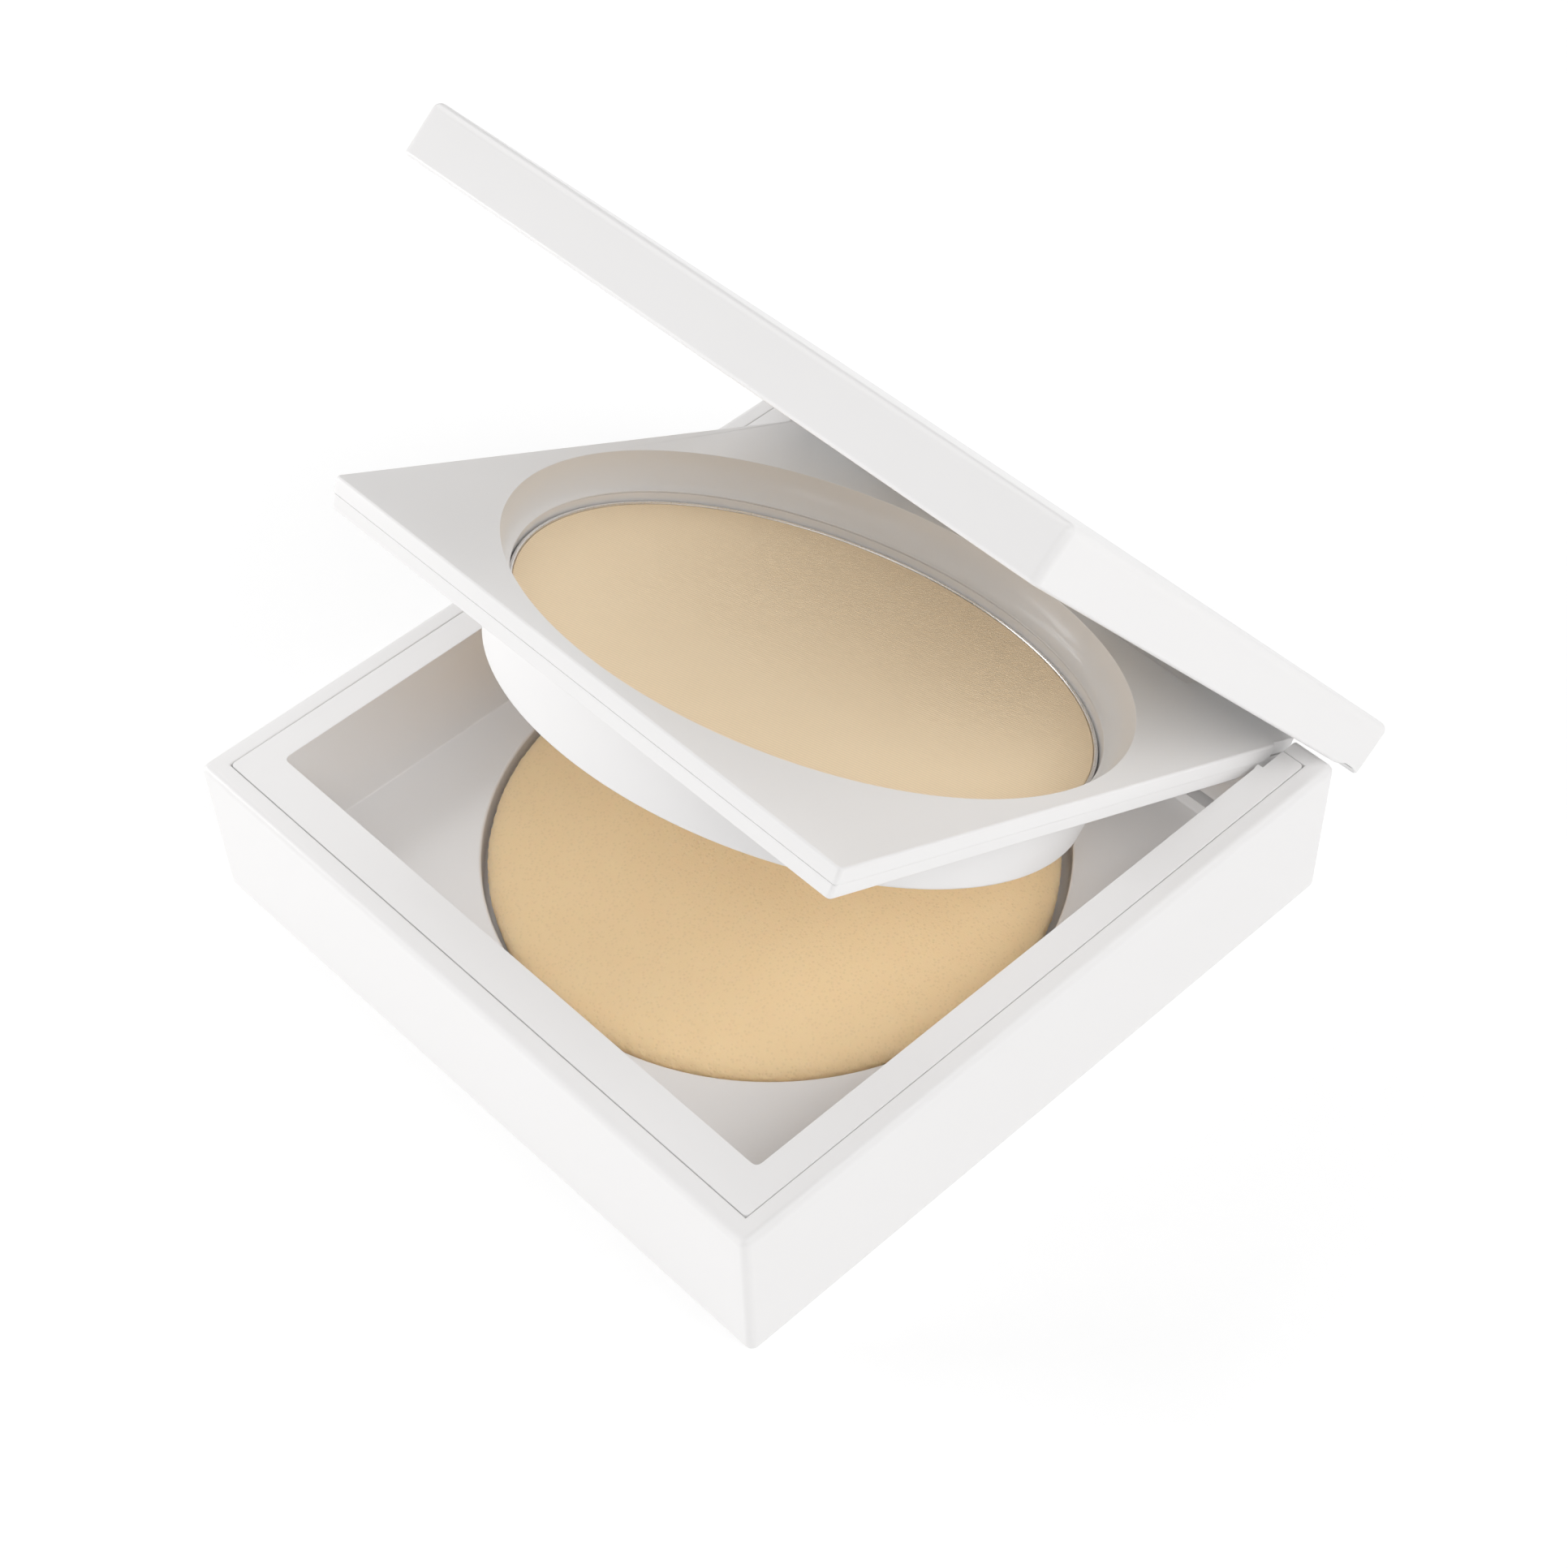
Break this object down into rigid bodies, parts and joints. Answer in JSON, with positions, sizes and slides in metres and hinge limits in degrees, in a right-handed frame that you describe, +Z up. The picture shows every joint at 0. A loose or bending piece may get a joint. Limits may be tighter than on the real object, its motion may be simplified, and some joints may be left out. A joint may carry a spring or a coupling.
{
  "type": "powder compact",
  "caption": "Square powder compact, open: puff well in the base, hinged tray with a round pressed-powder pan, hinged mirror lid.",
  "frame": {"origin": "middle of the base's underside, on the table", "axes": "+Z up, -Y towards the front edge that opens, +Y towards the hinge, +X to the right seen from the front"},
  "size_m": [0.08, 0.0886, 0.0787],
  "materials": {
    "white_plastic": "smooth white moulded plastic, soft gloss",
    "puff_foam": "fine-pored peach latex foam, matte",
    "steel": "drawn stainless steel",
    "magnet": "nickel-plated magnet",
    "pan_aluminium": "drawn bright aluminium",
    "pressed_powder": "pressed beige powder with a fine cloth imprint, matte",
    "adhesive": "double-sided adhesive sheet",
    "mirror_glass": "silvered glass"
  },
  "bodies": {
    "base": {"base_shell": "white_plastic", "base_liner": "white_plastic", "sponge_puff": "puff_foam", "hinge_pin_left": "steel", "hinge_pin_right": "steel", "base_magnet_left": "magnet", "base_magnet_right": "magnet"},
    "tray": {"tray_top_plate": "white_plastic", "tray_bowl": "white_plastic", "powder_pan": "pan_aluminium", "pressed_powder": "pressed_powder", "pan_adhesive": "adhesive", "tray_striker_left": "steel", "tray_striker_right": "steel"},
    "lid": {"lid_shell": "white_plastic", "lid_inner_frame": "white_plastic", "mirror": "mirror_glass", "mirror_adhesive": "adhesive", "lid_magnet_left": "magnet", "lid_magnet_right": "magnet"}
  },
  "joints": [
    {"name": "tray_hinge", "type": "hinge", "parent": "base", "child": "tray", "pos_m": [0, 0.0364, 0.0112], "axis": [-1, 0, 0], "range_deg": [-27.5, 22.5]},
    {"name": "lid_hinge", "type": "hinge", "parent": "tray", "child": "lid", "pos_m": [0, 0.0364, 0.0112], "axis": [-1, 0, 0], "range_deg": [-23.7, 51.3]}
  ]
}
